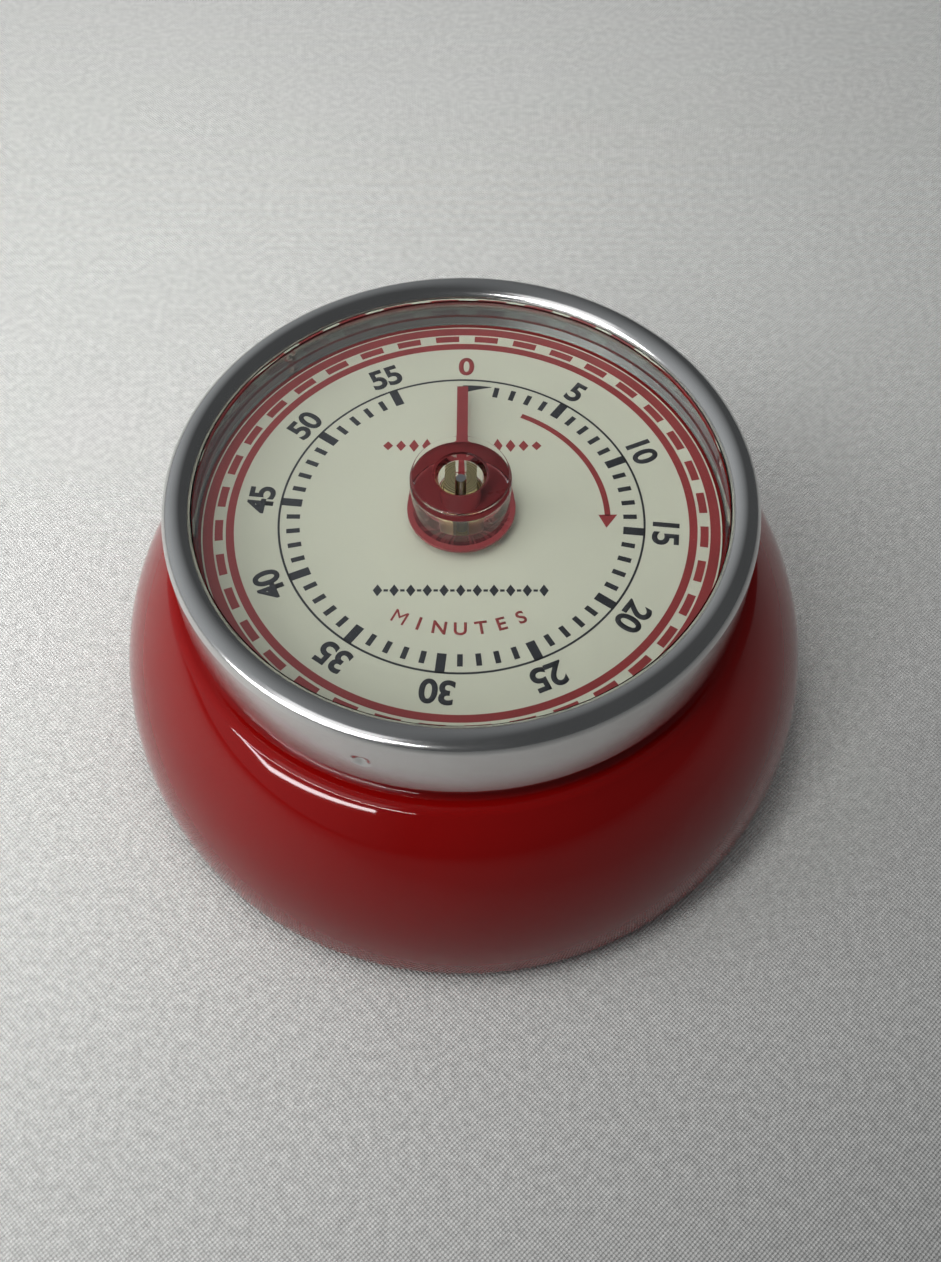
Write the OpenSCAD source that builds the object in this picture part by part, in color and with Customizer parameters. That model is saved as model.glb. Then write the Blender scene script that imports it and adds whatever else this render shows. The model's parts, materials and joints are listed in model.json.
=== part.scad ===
// Wind-up kitchen timer: enamelled steel case, turning chrome ring with a clear lens,
// spring-driven wheel train, bell and a pot magnet on the back.
// +Z is up and the magnet's face is z = 0. The dial's zero is towards +Y.

/* [Case] */
// Largest diameter of the case
body_d = 70; // [66:1:84]
// Height of the seat that carries the dial
body_h = 26.9; // [26.4:0.1:34]
// Height of the case's widest line
belly_z = 5; // [4:0.5:7]
// Thickness of the case's steel sheet
shell_t = 0.8; // [0.6:0.05:1]
// Width of the ledge around the neck
ledge_w = 1.65; // [1.6:0.05:2.5]
// Height of the neck above the ledge
neck_h = 3.9; // [3:0.1:4.5]
// Gap between the case's rim and the table
rim_gap = 0.3; // [0.1:0.1:0.6]
// Width of the dial seat's flange, inwards from the neck
seat_w = 5.3; // [5:0.1:6.5]

/* [Ring] */
// Outer diameter of the chrome ring
ring_d = 54.4; // [52:0.2:60]
// Thickness of the ring's sheet
ring_t = 0.6; // [0.5:0.05:0.8]
// Height of the ring, from skirt edge to bead crown
ring_h = 7.9; // [7.5:0.1:8.3]
// Width of the rounded bead
bead_w = 2.7; // [2.4:0.1:3.2]
// Gap between the skirt's edge and the ledge
skirt_gap = 1.9; // [1:0.1:2.2]
// Diameter of the three punched dimples
dimple_d = 1; // [0.8:0.1:1.4]
// Height of the dimples above the skirt's edge
dimple_h = 3.5; // [3.2:0.1:4.2]

/* [Lens] */
// Thickness of the lens
lens_t = 1.2; // [0.8:0.1:2]
// Height of the lens crown above the bead
crown_h = 1.1; // [0.6:0.1:1.6]
// Thickness of the lens's side wall
wall_t = 2.05; // [1.6:0.05:2.4]
// Outer diameter of the hub
hub_d = 9; // [8:0.1:10]
// Height of the hub above the lens crown
hub_rise = 0.3; // [0.2:0.1:1]

/* [Dial and pointer] */
// Thickness of the dial plate
dial_t = 0.5; // [0.3:0.1:0.8]
// Length of the pointer, from the axis to its tip
pointer_len = 14.8; // [12:0.2:20]
// Width of the pointer's strip
pointer_w = 1.06; // [0.8:0.02:1.5]
// Width of the pointer's disc left showing round the hub
pointer_rim = 0.5; // [0.3:0.1:1]
// Thickness of the pointer
pointer_t = 0.3; // [0.2:0.05:0.4]
// Height of the pointer above the dial
pointer_gap = 1.2; // [1.1:0.1:2]

/* [Main shaft] */
// Diameter of the shaft's upper end
shaft_d = 3.9; // [3.6:0.05:4]
// Width across the flats of the upper end
shaft_flat_w = 2.9; // [2.6:0.1:3.2]
// Length of the flats down from the shaft's end
shaft_flat_h = 1.8; // [1:0.1:3]
// Diameter of the shaft between the plates
arbor_d = 4.4; // [4.2:0.1:5]
// Width of the slot in the upper end
slot_w = 1; // [0.9:0.05:1.1]
// Diameter of the wedge pin
wedge_d = 0.9; // [0.8:0.05:1]
// Depth of the shaft's end below the hub's top
shaft_sink = 0.5; // [0.3:0.1:1]

/* [Movement] */
// Thickness of the two movement plates
plate_t = 1; // [0.8:0.1:1.2]
// Height of the pillars between the plates
pillar_h = 9.1; // [9.1:0.1:10]
// Diameter of the pillars
pillar_d = 3.2; // [2.8:0.1:3.6]
// Distance of the pillars from the axis
pillar_r = 18.5; // [18:0.1:19]
// Diameter of the rear plate
rear_plate_d = 43; // [42:0.5:46]
// Diameter of the wheels' pivots
pivot_d = 0.8; // [0.6:0.1:1]

/* [Wheel train] */
// Tooth size of the great wheel
great_m = 0.4; // [0.38:0.01:0.41]
// Tooth size of the second wheel
second_m = 0.35; // [0.33:0.01:0.36]
// Tooth size of the third wheel
third_m = 0.3; // [0.28:0.01:0.31]
// Teeth of the great wheel
great_teeth = 60; // [56:1:62]
// Teeth of the second wheel
second_teeth = 48; // [44:1:50]
// Teeth of the third wheel
third_teeth = 45; // [40:1:46]
// Teeth of each pinion
pinion_teeth = 8; // [7:1:9]
// Teeth of the escape wheel
escape_teeth = 14; // [12:1:18]
// Tip diameter of the escape wheel
escape_d = 8.4; // [7.6:0.1:9]
// Thickness of the wheels
wheel_t = 0.5; // [0.4:0.05:0.6]
// Thickness of the great wheel
great_t = 0.9; // [0.7:0.1:1]

/* [Mainspring and click] */
// Outer diameter of the mainspring at rest
mainspring_d = 22; // [18:0.5:23]
// Height of the mainspring's strip
mainspring_h = 2.9; // [2:0.1:3]
// Thickness of the mainspring's strip
mainspring_t = 0.25; // [0.15:0.05:0.35]
// Number of turns of the mainspring
mainspring_turns = 6; // [4:1:8]
// Diameter of the ratchet wheel
ratchet_d = 10; // [9:0.2:10.6]
// Teeth of the ratchet wheel
ratchet_teeth = 20; // [16:1:24]

/* [Bell and hammer] */
// Height of the bell
bell_h = 5.2; // [4:0.1:5.4]
// Thickness of the bell
bell_t = 0.8; // [0.6:0.1:1]
// Distance of the hammer's arbor from the axis
hammer_r = 18.4; // [18:0.1:19]
// Length of the hammer's arm
hammer_len = 11; // [9:0.1:12]
// Diameter of the hammer's head
hammer_d = 2; // [1.6:0.1:2.4]
// Diameter of the hammer's arbor
hammer_arbor_d = 1.6; // [1.4:0.1:2]
// Diameter of the release cam
cam_d = 13; // [11:0.5:13.4]

/* [Back] */
// Thickness of the rear cover
cover_t = 1.5; // [1.2:0.1:1.8]
// Depth of the rear cover inside the rim
cover_sink = 0.6; // [0.4:0.1:1]
// Diameter of the magnet's steel cup
cup_d = 32; // [28:0.5:34]
// Thickness of the magnet's steel cup
cup_t = 1; // [0.8:0.1:1.2]
// Height of the magnet
magnet_h = 4; // [3:0.1:4.2]
// Diameter of the magnet's bore
magnet_bore_d = 8; // [7:0.5:10]
// Diameter of the rivet that holds the magnet
rivet_d = 3; // [2.5:0.1:3.5]
// Diameter of the cover's screws
cover_screw_d = 2; // [1.8:0.1:2.2]
// Number of sound slots
sound_slots = 12; // [9:3:18]

/* [Clearances] */
// Gap between the ring's skirt and the neck
ring_clear = 0.25; // [0.2:0.05:0.4]
// Radial gap of the shaft in the plates
run_clear = 0.05; // [0.03:0.01:0.08]
// Radial gap of the pivots in the plates
pivot_clear = 0.03; // [0.02:0.01:0.05]
// Radial gap between the hub's upper bore and the shaft
hub_clear = 0.12; // [0.08:0.02:0.3]
// End play of the arbors between the plates
end_play = 0.1; // [0.05:0.05:0.2]
// Thinning of each wheel's teeth at the pitch circle
tooth_thinning = 0.05; // [0.03:0.01:0.08]
// Gap around pieces that drop into a recess
fit_gap = 0.15; // [0.1:0.05:0.3]

/* [Hidden] */
$fn = 96;
BEND_STEPS = 8;        // straight pieces in a small bend
DOME_STEPS = 28;       // straight pieces in the case's dome
overlap = 0.01;        // cutters run this far past a face

// Case outline. The dome is one arc, upright at the belly, that meets the ledge at the shoulder.
body_r = body_d / 2;
ring_r = ring_d / 2;
neck_r = ring_r - ring_t - ring_clear;
ledge_z = body_h - neck_h;
shoulder_r = neck_r + ledge_w;
dome_in = body_r - shoulder_r;
dome_up = ledge_z - belly_z;
dome_r = (dome_in * dome_in + dome_up * dome_up) / (2 * dome_in);
dome_c = [body_r - dome_r, belly_z];
shoulder_bend_r = 1.5 * shell_t;
neck_fillet_r = shell_t;
rim_bend_r = 2 * shell_t;
corner_bend_r = 1.25 * shell_t;
shoulder_bend_z = ledge_z - shoulder_bend_r;
shoulder_bend_a = asin((shoulder_bend_z - belly_z) / (dome_r - shoulder_bend_r));
rim_bend_z = rim_gap + rim_bend_r;
rim_bend_a = -asin((belly_z - rim_bend_z) / (dome_r - rim_bend_r));
rim_bend_x = dome_c[0] + (dome_r - rim_bend_r) * cos(rim_bend_a);
rim_lip_w = 1.4;
seat_in_r = neck_r - seat_w;
seat_z = body_h - shell_t;

// Ring, lens and dial, stacked on the case's seat
skirt_z = ledge_z + skirt_gap;
bead_r = bead_w / 2;
bead_z = skirt_z + ring_h - bead_r;
dimple_z = skirt_z + dimple_h;
dimple_dirs = [for (i = [0 : 2]) -107.5 + 120 * i];
lens_r = ring_r - ring_t - fit_gap;
lens_in_r = lens_r - wall_t;
seat_gap = 0.65;
lens_z0 = body_h + seat_gap;
lip_drop = 0.2;
lens_step_z = bead_z - lip_drop - fit_gap;
lens_top_r = ring_r - bead_w - run_clear;
lens_top_z = skirt_z + ring_h + crown_h;
crown_rise = 2.1;
crown_r = (lens_top_r * lens_top_r + crown_rise * crown_rise) / (2 * crown_rise);
dial_r = lens_in_r - ring_clear;
dial_z = body_h + dial_t;
pointer_z = dial_z + pointer_gap;
hub_z0 = pointer_z + pointer_t;
hub_top_z = lens_top_z + hub_rise;
hub_r = hub_d / 2;
hub_bevel = 0.15;
shaft_r = shaft_d / 2;
hub_bore_r = shaft_r + hub_clear;
countersink_w = 0.4;
countersink_h = 0.6;
arbor_r = arbor_d / 2;

// Movement, hung from the case's seat
front_z = seat_z - plate_t;
front_plate_r = neck_r - shell_t - ring_clear;
gear_z0 = front_z - pillar_h;
rear_z = gear_z0 - plate_t;
case_screw_r = (seat_in_r + front_plate_r) / 2;
case_screw_dirs = [30, 150, 270];
case_screw_d = 2;
dial_foot_dirs = [0, 180];
dial_foot_d = 1.2;
pillar_dirs = [95, 180, 270];
stub_d = 2;
nut_h = 0.8;
nut_d = 4.2;
shaft_top_z = hub_top_z - shaft_sink;
shaft_pivot_d = 2.4;
slot_z = pointer_z - 1;
flat_z = shaft_top_z - shaft_flat_h;
collar_h = 0.75;
collar_d = 5.8;

// Heights of the moving pieces above the rear plate's upper face
second_z = gear_z0 + 0.3;
great_z = second_z + wheel_t + 0.5;
washer_t = 0.3;
ratchet_z = great_z + great_t + 0.1;
ratchet_t = 0.8;
third_z = ratchet_z + 0.3;
escape_z = third_z + wheel_t + 1.4;
mainspring_z = ratchet_z + ratchet_t + 0.7;
cam_z = front_z - 1.7;
cam_t = 0.8;
balance_z = cam_z - 0.8;

// Train: each wheel's centre follows from its teeth, so every pair stays in mesh
PRESSURE = 26;
WHEEL_ADD = 0.75;
PINION_ADD = 0.9;
DEDENDUM = 1.2;
second_dir = -40;
third_dir = 52;
escape_dir = 83;
pallet_dir = 128;
function polar(r, a) = [r * cos(a), r * sin(a)];
function centre_distance(teeth, m) = (teeth + pinion_teeth) * m / 2;
second_c = polar(centre_distance(great_teeth, great_m), second_dir);
third_c = second_c + polar(centre_distance(second_teeth, second_m), third_dir);
escape_c = third_c + polar(centre_distance(third_teeth, third_m), escape_dir);
escape_r = escape_d / 2;
pallet_gap = 0.35;
pallet_pin_d = 0.6;
pallet_pin_a = 36;
pallet_pin_r = escape_r + pallet_gap + pallet_pin_d / 2;
pallet_dist = escape_r + 2;
pallet_c = escape_c + polar(pallet_dist, pallet_dir);
pallet_z = escape_z + wheel_t + 0.25;
pallet_seat_d = 1.4;
pallet_t = 0.6;
pallet_pin_cs = [for (s = [-1, 1]) escape_c + polar(pallet_pin_r, pallet_dir + s * pallet_pin_a)];
balance_len = 10;
second_seat_r = 1;
third_seat_r = 0.9;
escape_seat_r = 0.8;

spring_post_d = 1.6;
spring_post_gap = 0.5;
great_tip_r = (great_teeth / 2 + WHEEL_ADD) * great_m;
spring_post_r = max(mainspring_d / 2 + 3, great_tip_r + spring_post_d / 2 + spring_post_gap);
spring_post_dir = 205;
click_post_d = 1.4;
click_r = ratchet_d / 2 + 3;
click_dir = 20;
click_post_z = great_z + great_t;

// Bell and hammer, under the rear plate
bell_top_z = rear_z - 1.4;
bell_z = bell_top_z - bell_h;
bracket_z = 9;
bracket_t = 1;
bracket_w = 7;
function dome_x(z, r) = dome_c[0] + sqrt(r * r - (z - belly_z) * (z - belly_z));
bracket_out_r = dome_x(bracket_z, dome_r - shell_t);
boss_d = 4.8;
cover_z = rim_gap + cover_sink;
cover_r = rim_bend_x - rim_lip_w - fit_gap;
boss_r = cover_r - boss_d / 2 - 0.4;
boss_dirs = [90, 210, 330];
bell_arc_r = 7;
bell_end_a = -asin((bell_arc_r - bell_h) / bell_arc_r);
bell_r = boss_r - boss_d / 2 - 1.6;
bell_arc_x = bell_r - bell_arc_r * cos(bell_end_a);
bell_post_d = 5.2;
bell_screw_d = 2.5;
hammer_dir = 225;
hammer_c = polar(hammer_r, hammer_dir);
hammer_reach = bell_r - 4.1;
hammer_open = acos((hammer_r * hammer_r + hammer_len * hammer_len - hammer_reach * hammer_reach)
    / (2 * hammer_r * hammer_len));
hammer_arm_dir = hammer_dir + 180 + hammer_open;
hammer_tip = hammer_c + polar(hammer_len, hammer_arm_dir);
hammer_pin_d = 1;
hammer_arm_z = bell_top_z + 0.3;
hammer_arm_t = 0.8;
tail_z = cam_z;
tail_t = 0.7;
tail_len = hammer_r - cam_d / 2 - 0.5;
hammer_spring_z = gear_z0 + 2;

// Back
cup_r = cup_d / 2;
cup_h = magnet_h + cup_t;
pocket_t = 1.2;
rivet_head_h = 0.5;
magnet_r = cup_r - cup_t - fit_gap;
slot_in_r = cup_r + fit_gap + pocket_t + 2;
slot_out_r = boss_r - boss_d / 2 - 1;

// ---- shared shapes ----

// Points on an arc, from angle a0 to a1
function arc(c, r, a0, a1, n) = [for (i = [0 : n]) c + polar(r, a0 + (a1 - a0) * i / n)];

function flipped(points) = [for (i = [len(points) - 1 : -1 : 0]) points[i]];

// One face of the case's sheet, drawn from the rim to the seat; depth is 0 outside, shell_t inside
function case_face(depth) = concat(
    [[rim_bend_x - rim_lip_w, rim_gap + depth]],
    arc([rim_bend_x, rim_bend_z], rim_bend_r - depth, -90, rim_bend_a, BEND_STEPS),
    arc(dome_c, dome_r - depth, rim_bend_a, shoulder_bend_a, DOME_STEPS),
    arc([dome_c[0] + (dome_r - shoulder_bend_r) * cos(shoulder_bend_a), shoulder_bend_z],
        shoulder_bend_r - depth, shoulder_bend_a, 90, BEND_STEPS),
    arc([neck_r + neck_fillet_r, ledge_z + neck_fillet_r], neck_fillet_r + depth, 270, 180,
        BEND_STEPS),
    arc([neck_r - corner_bend_r, body_h - corner_bend_r], corner_bend_r - depth, 0, 90, BEND_STEPS),
    [[seat_in_r, body_h - depth]]);

// A round bar between two heights
module bar(d, z0, z1, c = [0, 0]) {
    translate([c[0], c[1], z0]) cylinder(d = d, h = z1 - z0);
}

// A round washer or bush
module sleeve(d, bore_d, z0, z1, c = [0, 0]) {
    difference() {
        bar(d, z0, z1, c);
        bar(bore_d, z0 - overlap, z1 + overlap, c);
    }
}

module at_dirs(dirs, r) {
    for (a = dirs) rotate(a) translate([r, 0, 0]) children();
}

// Involute angle, in degrees
function involute(a) = tan(a) * 180 / PI - a;

// Outline of a gear with one tooth centred on +X
function gear_points(teeth, m, add, steps) = let (
    pitch_r = teeth * m / 2,
    base_r = pitch_r * cos(PRESSURE),
    tip_r = pitch_r + add * m,
    root_r = pitch_r - DEDENDUM * m,
    flank_r0 = max(base_r, root_r),
    half = 90 / teeth - tooth_thinning / pitch_r * 90 / PI,
    flank = [for (i = [0 : steps]) let (r = flank_r0 + (tip_r - flank_r0) * i / steps)
        [r, half + involute(PRESSURE) - involute(acos(base_r / r))]])
    [for (t = [0 : teeth - 1]) let (a = 360 * t / teeth) each concat(
        [polar(root_r, a - flank[0][1])],
        [for (p = flank) polar(p[0], a - p[1])],
        [for (p = flipped(flank)) polar(p[0], a + p[1])],
        [polar(root_r, a + flank[0][1])])];

module gear(teeth, m, add, t, steps) {
    linear_extrude(height = t) polygon(gear_points(teeth, m, add, steps));
}

// A spoked brass wheel with a bore that seats on its arbor
module train_wheel(teeth, m, t, core_r, spokes, face_dir) {
    rim_r = (teeth / 2 - DEDENDUM) * m - 0.7;
    spoke_w = 0.9;
    difference() {
        rotate(face_dir) gear(teeth, m, WHEEL_ADD, t, 2);
        translate([0, 0, -overlap]) difference() {
            cylinder(r = rim_r, h = t + 2 * overlap);
            translate([0, 0, -overlap]) cylinder(r = core_r + 0.9, h = t + 4 * overlap);
            for (i = [0 : spokes - 1]) rotate(face_dir + 360 / spokes * i)
                translate([0, -spoke_w / 2, -overlap]) cube([rim_r + 1, spoke_w, t + 4 * overlap]);
        }
        translate([0, 0, -overlap]) cylinder(r = core_r, h = t + 2 * overlap);
    }
}

// An arbor with pivots in both plates, a pinion and a seat for its wheel
module train_arbor(c, m, pinion_z0, pinion_z1, wheel_z, seat_r, mesh_dir) {
    shank_d = 1.2;
    bar(pivot_d, rear_z + overlap, gear_z0 + end_play, c);
    bar(shank_d, gear_z0 + end_play, front_z - end_play, c);
    bar(pivot_d, front_z - end_play, seat_z - overlap, c);
    bar(2 * seat_r, min(pinion_z0, wheel_z), max(pinion_z1, wheel_z + wheel_t), c);
    translate([c[0], c[1], pinion_z0]) rotate(mesh_dir + 180 + 180 / pinion_teeth)
        gear(pinion_teeth, m, PINION_ADD, pinion_z1 - pinion_z0, 4);
}

// Holes in a plate: shaft, wheel pivots, hammer arbor
module pivot_holes(z0, z1, shaft_hole_d) {
    bar(shaft_hole_d, z0, z1);
    for (c = [second_c, third_c, escape_c, pallet_c]) bar(pivot_d + 2 * pivot_clear, z0, z1, c);
}

// ---- case ----

module case_shell() {
    color("firebrick") difference() {
        rotate_extrude() polygon(concat(case_face(0), flipped(case_face(shell_t))));
        at_dirs(case_screw_dirs, case_screw_r) bar(case_screw_d, seat_z - overlap, body_h + overlap);
        at_dirs(dial_foot_dirs, case_screw_r) bar(dial_foot_d, seat_z - overlap, body_h + overlap);
    }
}

// Three tabs welded to the inside of the case, tapped for the cover's screws
module case_brackets() {
    leg_h = 4;
    color("silver") for (a = boss_dirs) rotate(a) difference() {
        intersection() {
            union() {
                rotate_extrude() difference() {
                    translate(dome_c) circle(r = dome_r - shell_t);
                    translate(dome_c) circle(r = dome_r - shell_t - bracket_t);
                    translate([-2 * dome_r, -2 * dome_r]) square([2 * dome_r, 4 * dome_r]);
                }
                bar(2 * (bracket_out_r - 0.5), bracket_z, bracket_z + bracket_t);
            }
            translate([boss_r - boss_d / 2, -bracket_w / 2, bracket_z])
                cube([body_r, bracket_w, leg_h]);
        }
        translate([boss_r, 0, 0]) bar(cover_screw_d, bracket_z - overlap, bracket_z + bracket_t + overlap);
    }
}

module dial_plate() {
    shaft_hole_d = 6;
    color("ivory") sleeve(2 * dial_r, shaft_hole_d, body_h, dial_z);
}

module dial_feet() {
    color("silver") at_dirs(dial_foot_dirs, case_screw_r) bar(dial_foot_d, front_z, body_h);
}

// ---- movement frame ----

module front_plate() {
    color("goldenrod") difference() {
        bar(2 * front_plate_r, front_z, seat_z);
        pivot_holes(front_z - overlap, seat_z + overlap, shaft_d + 2 * run_clear);
        bar(hammer_arbor_d + 2 * run_clear, front_z - overlap, seat_z + overlap, hammer_c);
        at_dirs(pillar_dirs, pillar_r) bar(stub_d, front_z - overlap, seat_z + overlap);
        at_dirs(case_screw_dirs, case_screw_r) bar(case_screw_d, front_z - overlap, seat_z + overlap);
        at_dirs(dial_foot_dirs, case_screw_r) bar(dial_foot_d, front_z - overlap, seat_z + overlap);
        bar(spring_post_d, front_z - overlap, seat_z + overlap, polar(spring_post_r, spring_post_dir));
    }
}

module rear_plate() {
    window_r = 5;
    window_dirs = [60, 130];
    color("goldenrod") difference() {
        bar(rear_plate_d, rear_z, gear_z0);
        pivot_holes(rear_z - overlap, gear_z0 + overlap, shaft_pivot_d + 2 * run_clear);
        bar(hammer_arbor_d + 2 * run_clear, rear_z - overlap, gear_z0 + overlap, hammer_c);
        at_dirs(pillar_dirs, pillar_r) bar(stub_d, rear_z - overlap, gear_z0 + overlap);
        at_dirs(window_dirs, pillar_r / 2) bar(window_r, rear_z - overlap, gear_z0 + overlap);
        bar(spring_post_d, rear_z - overlap, gear_z0 + overlap, polar(spring_post_r, spring_post_dir));
    }
}

module pillars() {
    color("silver") at_dirs(pillar_dirs, pillar_r) {
        bar(pillar_d, gear_z0, front_z);
        bar(stub_d, rear_z - nut_h, seat_z);
    }
}

module pillar_nuts() {
    color("silver") at_dirs(pillar_dirs, pillar_r) difference() {
        translate([0, 0, rear_z - nut_h]) cylinder(d = nut_d, h = nut_h, $fn = 6);
        bar(stub_d, rear_z - nut_h - overlap, rear_z + overlap);
    }
}

module case_screws() {
    head_d = 3.6;
    head_h = 1.2;
    color("silver") at_dirs(case_screw_dirs, case_screw_r) difference() {
        union() {
            bar(head_d, front_z - head_h, front_z);
            bar(case_screw_d, front_z - overlap, body_h);
        }
        translate([-head_d, -0.3, front_z - head_h - overlap]) cube([2 * head_d, 0.6, 0.6]);
    }
}

// ---- turning ring, lens and shaft ----

// The ring's sheet, from the skirt's edge over the bead to its inner lip
module bezel_ring() {
    mid_r = ring_r - ring_t / 2;
    color("gainsboro") difference() {
        union() {
            rotate_extrude() polygon(concat(
                arc([mid_r, skirt_z + ring_t / 2], ring_t / 2, 180, 360, BEND_STEPS),
                arc([ring_r - bead_r, bead_z], bead_r, 0, 180, 3 * BEND_STEPS),
                [[ring_r - bead_w, bead_z - lip_drop], [ring_r - bead_w + ring_t, bead_z - lip_drop]],
                arc([ring_r - bead_r, bead_z], bead_r - ring_t, 180, 0, 2 * BEND_STEPS)));
            at_dirs(dimple_dirs, 0) translate([ring_r - ring_t - 0.3, 0, dimple_z])
                rotate([0, 90, 0]) cylinder(d = dimple_d, h = 0.5);
        }
        at_dirs(dimple_dirs, 0) translate([ring_r + 0.55, 0, dimple_z])
            sphere(d = 2 * dimple_d);
    }
}

// One clear moulding: crowned disc, side wall and hollow hub
module lens() {
    crown_c = [0, lens_top_z - crown_r];
    crown_a = acos(lens_top_r / crown_r);
    inner_a = acos(lens_in_r / (crown_r - lens_t));
    color("aliceblue", 0.35) difference() {
        union() {
            rotate_extrude() polygon(concat(
                arc(crown_c, crown_r, 90, crown_a, DOME_STEPS),
                [[lens_top_r, lens_step_z], [lens_r, lens_step_z], [lens_r, lens_z0],
                    [lens_in_r, lens_z0]],
                arc(crown_c, crown_r - lens_t, inner_a, 90, DOME_STEPS)));
            rotate_extrude() polygon([[0, hub_z0], [hub_r, hub_z0], [hub_r, hub_top_z - hub_bevel],
                [hub_r - hub_bevel, hub_top_z], [0, hub_top_z]]);
        }
        bar(shaft_d, hub_z0 - overlap, flat_z);
        bar(2 * hub_bore_r, flat_z, hub_top_z + overlap);
        translate([0, 0, hub_top_z - countersink_h])
            cylinder(r1 = hub_bore_r, r2 = hub_bore_r + 2 * countersink_w, h = 2 * countersink_h);
        at_dirs(dimple_dirs, 0) translate([lens_r - 0.25, 0, dimple_z])
            rotate([0, 90, 0]) cylinder(d = dimple_d + 0.1, h = 1);
    }
}

module pointer() {
    tongue_end = 0.5 + wedge_d / 2;
    color("firebrick") translate([0, 0, pointer_z]) {
        difference() {
            union() {
                cylinder(r = hub_r + pointer_rim, h = pointer_t);
                translate([-pointer_w / 2, 0, 0]) cube([pointer_w, pointer_len, pointer_t]);
            }
            translate([0, 0, -overlap]) cylinder(d = shaft_d, h = 1);
        }
        translate([-slot_w / 2 + run_clear, tongue_end, 0])
            cube([slot_w - 2 * run_clear, shaft_r + 0.5 - tongue_end, pointer_t]);
    }
}

module main_shaft() {
    color("darkgoldenrod") difference() {
        union() {
            bar(shaft_pivot_d, rear_z, gear_z0 + end_play);
            bar(arbor_d, gear_z0 + end_play, front_z - end_play);
            bar(collar_d, front_z - end_play - collar_h, front_z - end_play);
            bar(shaft_d, front_z - end_play, shaft_top_z);
        }
        translate([-slot_w / 2, -shaft_r - 1, slot_z]) cube([slot_w, shaft_d + 2, shaft_top_z]);
        bar(wedge_d, seat_z, shaft_top_z + overlap);
        for (side = [0, 180]) rotate(side)
            translate([shaft_flat_w / 2, -shaft_r - 1, flat_z]) cube([shaft_r, shaft_d + 2, shaft_top_z]);
    }
}

module wedge_pin() {
    color("silver") bar(wedge_d, seat_z, shaft_top_z - end_play);
}

module release_cam() {
    notch_w = 2.4;
    notch_depth = 1.4;
    color("silver") difference() {
        sleeve(cam_d, arbor_d, cam_z, cam_z + cam_t);
        rotate(hammer_dir) translate([cam_d / 2 - notch_depth, -notch_w / 2, cam_z - overlap])
            cube([notch_depth + 1, notch_w, cam_t + 2 * overlap]);
    }
}

// ---- power: great wheel, ratchet, click, spring ----

module great_wheel() {
    hole_d = 4.6;
    color("gold") translate([0, 0, great_z]) difference() {
        rotate(second_dir) gear(great_teeth, great_m, WHEEL_ADD, great_t, 2);
        translate([0, 0, -overlap]) cylinder(d = arbor_d, h = great_t + 2 * overlap);
        at_dirs([for (i = [0 : 3]) click_dir + 45 + 90 * i], click_r)
            translate([0, 0, -overlap]) cylinder(d = hole_d, h = great_t + 2 * overlap);
    }
}

module friction_washer() {
    color("silver") sleeve(arbor_d + 3, arbor_d, great_z - washer_t, great_z);
}

// Saw teeth that the click drops into
function ratchet_points() = [for (i = [0 : ratchet_teeth - 1]) let (a = 360 * i / ratchet_teeth)
    each [polar(ratchet_d / 2, a), polar(ratchet_d / 2 - 0.7, a + 4)]];

module ratchet_wheel() {
    color("silver") difference() {
        translate([0, 0, ratchet_z]) linear_extrude(height = ratchet_t) polygon(ratchet_points());
        bar(arbor_d, ratchet_z - overlap, ratchet_z + ratchet_t + overlap);
    }
}

module click_post() {
    head_t = 0.2;
    color("silver") rotate(click_dir) translate([click_r, 0, 0]) {
        bar(click_post_d, click_post_z, ratchet_z + ratchet_t + 0.05);
        bar(click_post_d + 0.8, ratchet_z + ratchet_t + 0.05, ratchet_z + ratchet_t + 0.05 + head_t);
    }
}

// A pawl on its post: its nose points at the ratchet's edge
module click() {
    nose = polar(ratchet_d / 2 + 0.12, click_dir + 38);
    post = polar(click_r, click_dir);
    color("silver") difference() {
        translate([0, 0, ratchet_z]) linear_extrude(height = ratchet_t) union() {
            translate(post) circle(d = click_post_d + 1.4);
            polygon([post + polar(0.9, click_dir), nose + polar(0.9, click_dir + 30), nose,
                post - polar(0.9, click_dir)]);
        }
        translate([post[0], post[1], 0])
            bar(click_post_d + 2 * run_clear, ratchet_z - overlap, ratchet_z + ratchet_t + overlap);
    }
}

// A thin strip standing on the great wheel, that presses the click inwards
module click_spring() {
    strip_t = 0.2;
    outer_r = click_r + 2.2;
    color("silver") rotate(click_dir) translate([0, 0, click_post_z]) linear_extrude(height = ratchet_t)
        polygon(concat(arc([0, 0], outer_r, 4, 60, 12), arc([0, 0], outer_r - strip_t, 60, 4, 12)));
}

// A spiral strip from the shaft out to an eye on the spring post
module mainspring() {
    steps = 20 * mainspring_turns;
    tail_steps = 6;
    tail_turn = 36;
    r0 = arbor_r + 0.05;
    r1 = mainspring_d / 2;
    eye_d = spring_post_d + 2 * run_clear;
    eye_out_r = eye_d / 2 + mainspring_t;
    a0 = spring_post_dir - tail_turn;
    r2 = spring_post_r - eye_out_r;
    centre = concat(
        [for (i = [0 : steps - 1]) polar(r0 + (r1 - r0) * i / steps, a0 + 18 * i)],
        [for (i = [0 : tail_steps]) let (k = i / tail_steps)
            polar(r1 + (r2 - r1) * k * k, a0 + tail_turn * k)]);
    far = [for (i = [0 : len(centre) - 1]) centre[i] * (1 + mainspring_t / norm(centre[i]))];
    color("steelblue") {
        translate([0, 0, mainspring_z]) linear_extrude(height = mainspring_h)
            polygon(concat(centre, flipped(far)));
        sleeve(2 * eye_out_r, eye_d, mainspring_z, mainspring_z + mainspring_h,
            polar(spring_post_r, spring_post_dir));
    }
}

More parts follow.
